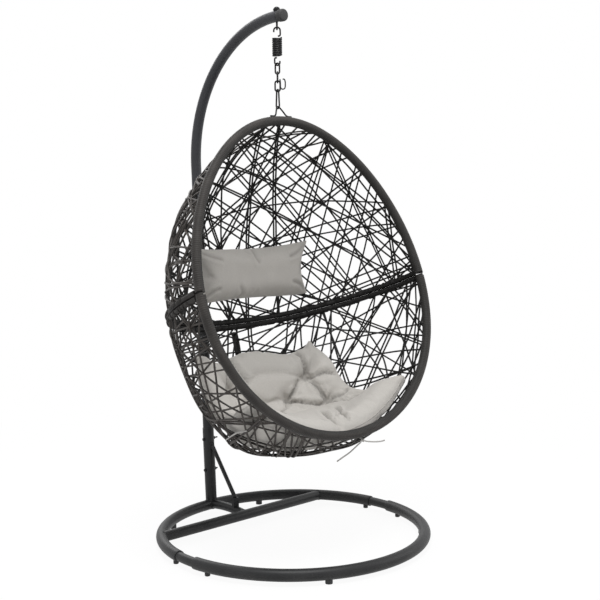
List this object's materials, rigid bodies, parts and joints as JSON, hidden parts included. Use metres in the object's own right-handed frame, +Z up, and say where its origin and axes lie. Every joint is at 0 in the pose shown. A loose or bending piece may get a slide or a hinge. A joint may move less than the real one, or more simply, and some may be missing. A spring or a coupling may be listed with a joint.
{
  "type": "hanging egg chair",
  "caption": "Woven egg-shaped hanging seat with cushions, hung by a spring and chain from a bent arm on a round tubular floor stand.",
  "frame": {"origin": "on the floor, under the middle of the chair's bounding box (its free ties left out)", "axes": "+Z up; the egg's opening faces -Y and the post stands at +Y; X is the width"},
  "size_m": [1.102, 1.0729, 1.9489],
  "materials": {
    "steel": "grey textured powder coat",
    "black_steel": "black satin coat",
    "rubber": "matt black",
    "wicker": "dark grey-brown resin strand over steel",
    "fabric": "light grey woven cloth",
    "tape": "light grey cloth tape"
  },
  "bodies": {
    "stand": {"ring_rear": "steel", "ring_front": "steel", "ring_sleeve_left": "steel", "ring_sleeve_right": "steel", "crossbar": "steel", "post_stub": "steel", "post_socket": "steel", "post_brace": "steel", "brace_foot": "steel", "arm_lower": "steel", "arm_upper": "steel", "arm_end_cap": "rubber", "eye_bolt": "black_steel", "eye_bolt_nut": "black_steel", "foot_1": "rubber", "foot_2": "rubber", "foot_3": "rubber", "foot_4": "rubber", "post_bolt_low": "black_steel", "post_bolt_low_nut": "black_steel", "post_bolt_high": "black_steel", "post_bolt_high_nut": "black_steel", "arm_bolt_1": "black_steel", "arm_bolt_1_nut": "black_steel", "arm_bolt_2": "black_steel", "arm_bolt_2_nut": "black_steel", "ring_bolt_left_front": "black_steel", "ring_bolt_left_rear": "black_steel", "ring_bolt_right_front": "black_steel", "ring_bolt_right_rear": "black_steel"},
    "upper_hook": {"spring_hook_upper": "black_steel"},
    "spring": {"spring_coil": "black_steel"},
    "lower_hook": {"spring_hook_lower": "black_steel"},
    "chain": {"chain_link_1": "black_steel", "chain_link_2": "black_steel", "chain_link_3": "black_steel", "long_ring": "black_steel"},
    "spare_hook": {"spare_hook": "black_steel"},
    "egg": {"hanger_bracket": "black_steel", "rim_upper": "wicker", "rim_lower": "wicker", "band_upper": "wicker", "band_lower": "wicker", "shell_upper": "wicker", "shell_lower": "wicker", "lower_rib": "wicker", "band_bolt_left": "black_steel", "band_bolt_back": "black_steel", "band_bolt_right": "black_steel", "seat_cushion": "fabric", "head_pillow": "fabric", "tie_left": "tape", "tie_right_short": "tape", "tie_right_long": "tape", "tie_knot": "tape"}
  },
  "joints": [
    {"name": "side_swing", "type": "hinge", "parent": "stand", "child": "upper_hook", "pos_m": [0, 0.029, 1.8705], "axis": [0, 1, 0], "range_deg": [-8, 8]},
    {"name": "swivel", "type": "hinge", "parent": "upper_hook", "child": "spring", "pos_m": [0, 0.029, 1.84], "axis": [0, 0, 1], "range_deg": [-20, 20]},
    {"name": "spring_bob", "type": "slide", "parent": "spring", "child": "lower_hook", "axis": [0, 0, -1], "range_m": [0, 0.025], "stiffness_N_per_m": 20000, "springref_m": -0.02, "deforming": ["spring_coil"]},
    {"name": "fore_aft_swing", "type": "hinge", "parent": "lower_hook", "child": "chain", "pos_m": [0, 0.029, 1.7427], "axis": [1, 0, 0], "range_deg": [-10, 4]},
    {"name": "egg_rock", "type": "hinge", "parent": "chain", "child": "egg", "pos_m": [0, 0.029, 1.5898], "axis": [1, 0, 0], "range_deg": [-8, 3]},
    {"name": "spare_hook_lift", "type": "hinge", "parent": "chain", "child": "spare_hook", "pos_m": [0.00658, 0.02286, 1.6809], "axis": [-0.682, -0.7314, 0], "range_deg": [0, 12]}
  ]
}
